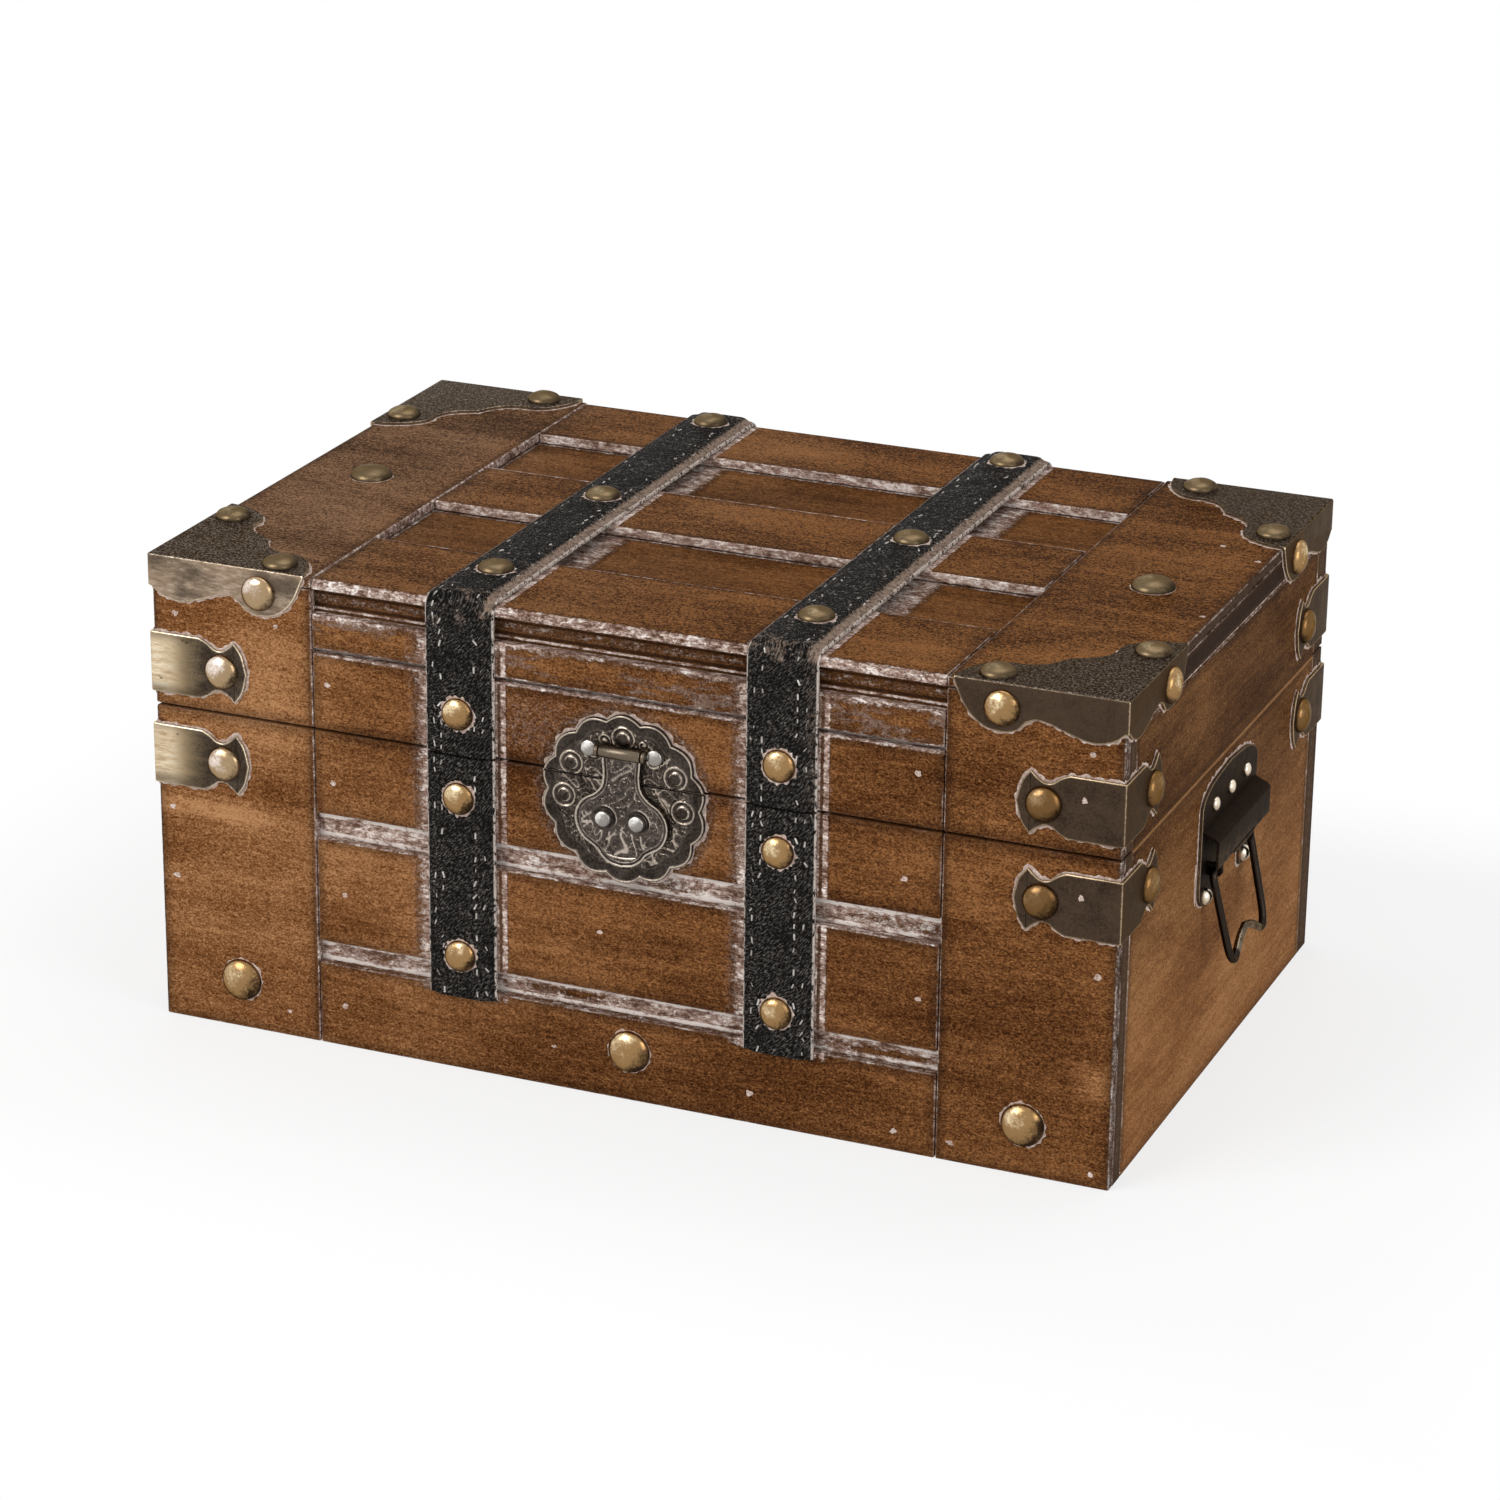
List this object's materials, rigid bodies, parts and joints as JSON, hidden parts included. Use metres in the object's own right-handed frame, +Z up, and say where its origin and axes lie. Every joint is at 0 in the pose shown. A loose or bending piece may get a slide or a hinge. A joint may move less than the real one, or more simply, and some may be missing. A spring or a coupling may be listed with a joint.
{
  "type": "treasure chest",
  "caption": "Small wooden chest with a hinged flat lid, raised slats, leather straps, metal corners and brackets, a round lock plate with a hasp, and a bail handle at each end.",
  "frame": {"origin": "middle of the underside, on the surface that the chest stands on", "axes": "+X to the right along the length, +Y towards the hinges at the back, +Z up; the front with the lock faces -Y"},
  "size_m": [0.3216, 0.2024, 0.1515],
  "materials": {
    "wood_front": "brown stain, worn, satin",
    "wood_side": "lighter brown stain, satin",
    "wood_inside": "bare",
    "leather": "black, fine grain, pale stitches",
    "bronze": "dark antique",
    "gunmetal": "dark, worn bright on the edges",
    "steel": "plain"
  },
  "bodies": {
    "base": {"base_floor": "wood_inside", "base_front_wall": "wood_front", "base_back_wall": "wood_side", "base_left_wall": "wood_side", "base_right_wall": "wood_side", "base_front_end_board_left": "wood_front", "base_front_end_board_right": "wood_front", "base_front_slat_lower": "wood_front", "base_front_slat_middle": "wood_front", "base_front_slat_upper": "wood_front", "base_front_strap_left": "leather", "base_front_strap_right": "leather", "base_back_strap_left": "leather", "base_back_strap_right": "leather", "base_bracket_front_left": "bronze", "base_bracket_front_right": "bronze", "base_bracket_back_left": "bronze", "base_bracket_back_right": "bronze", "lock_plate_lower": "gunmetal", "hinge_base_leaf_left": "bronze", "hinge_base_leaf_right": "bronze", "hinge_pin_left": "steel", "hinge_pin_right": "steel", "handle_plate_left": "bronze", "handle_plate_right": "bronze"},
    "lid": {"lid_top_panel": "wood_front", "lid_front_wall": "wood_front", "lid_back_wall": "wood_side", "lid_left_wall": "wood_side", "lid_right_wall": "wood_side", "lid_front_end_board_left": "wood_front", "lid_front_end_board_right": "wood_front", "lid_front_slat_lower": "wood_front", "lid_front_slat_upper": "wood_front", "lid_top_end_board_left": "wood_front", "lid_top_end_board_right": "wood_front", "lid_top_slat_front": "wood_front", "lid_top_slat_middle": "wood_front", "lid_top_slat_back": "wood_front", "lid_strap_left": "leather", "lid_strap_right": "leather", "lid_corner_cap_front_left": "bronze", "lid_corner_cap_front_right": "bronze", "lid_corner_cap_back_left": "bronze", "lid_corner_cap_back_right": "bronze", "lid_bracket_front_left": "bronze", "lid_bracket_front_right": "bronze", "lid_bracket_back_left": "bronze", "lid_bracket_back_right": "bronze", "lock_plate_upper": "gunmetal", "hinge_lid_leaf_left": "bronze", "hinge_lid_leaf_right": "bronze", "hasp_pin": "steel"},
    "hasp_leaf": {"hasp": "gunmetal"},
    "bail_left": {"handle_bail_left": "bronze"},
    "bail_right": {"handle_bail_right": "bronze"}
  },
  "joints": [
    {"name": "lid_hinge", "type": "hinge", "parent": "base", "child": "lid", "pos_m": [0, 0.0983, 0.0999], "axis": [-1, 0, 0], "range_deg": [0, 105]},
    {"name": "hasp_hinge", "type": "hinge", "parent": "lid", "child": "hasp_leaf", "pos_m": [0.0015, -0.0992, 0.109], "axis": [-1, 0, 0], "range_deg": [0, 150]},
    {"name": "bail_left_hinge", "type": "hinge", "parent": "base", "child": "bail_left", "pos_m": [-0.1532, -0.002, 0.0685], "axis": [0, 1, 0], "range_deg": [0, 75]},
    {"name": "bail_right_hinge", "type": "hinge", "parent": "base", "child": "bail_right", "pos_m": [0.1532, -0.002, 0.0685], "axis": [0, -1, 0], "range_deg": [0, 75]}
  ]
}
